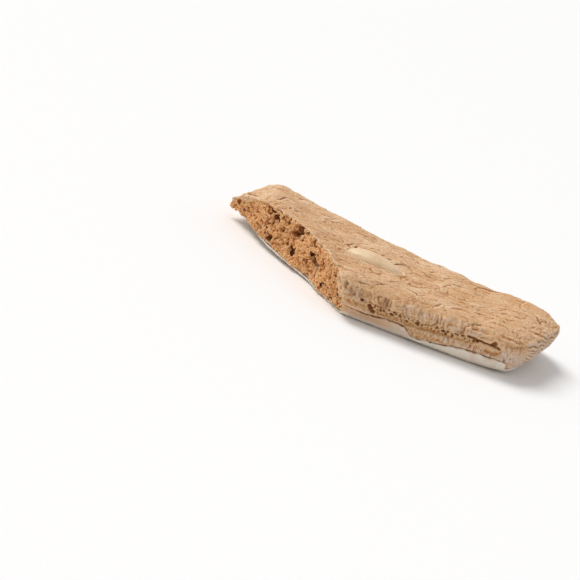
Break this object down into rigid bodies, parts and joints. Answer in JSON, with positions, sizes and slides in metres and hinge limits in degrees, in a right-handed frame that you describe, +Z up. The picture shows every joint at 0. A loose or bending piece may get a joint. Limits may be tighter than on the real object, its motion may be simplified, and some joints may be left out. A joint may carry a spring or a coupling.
{
  "type": "broken lebkuchen",
  "caption": "Broken slab of lebkuchen: spiced porous dough on a thin wafer, with a blanched almond set in its dished crust.",
  "frame": {"origin": "middle of the footprint, on the surface that the wafer lies on", "axes": "+X along the slab, away from the snapped corner; +Y from the wafer-edged front side to the back; +Z up, towards the crust"},
  "size_m": [0.1314, 0.0808, 0.0176],
  "materials": {
    "dough": "matt baked crust, pale tan, with golden brown crumb at the break",
    "almond": "satin blanched almond, cream",
    "wafer": "matt baked wafer sheet, cream to pale brown"
  },
  "bodies": {
    "root": {"dough": "dough", "almond": "almond", "wafer": "wafer"}
  },
  "joints": []
}
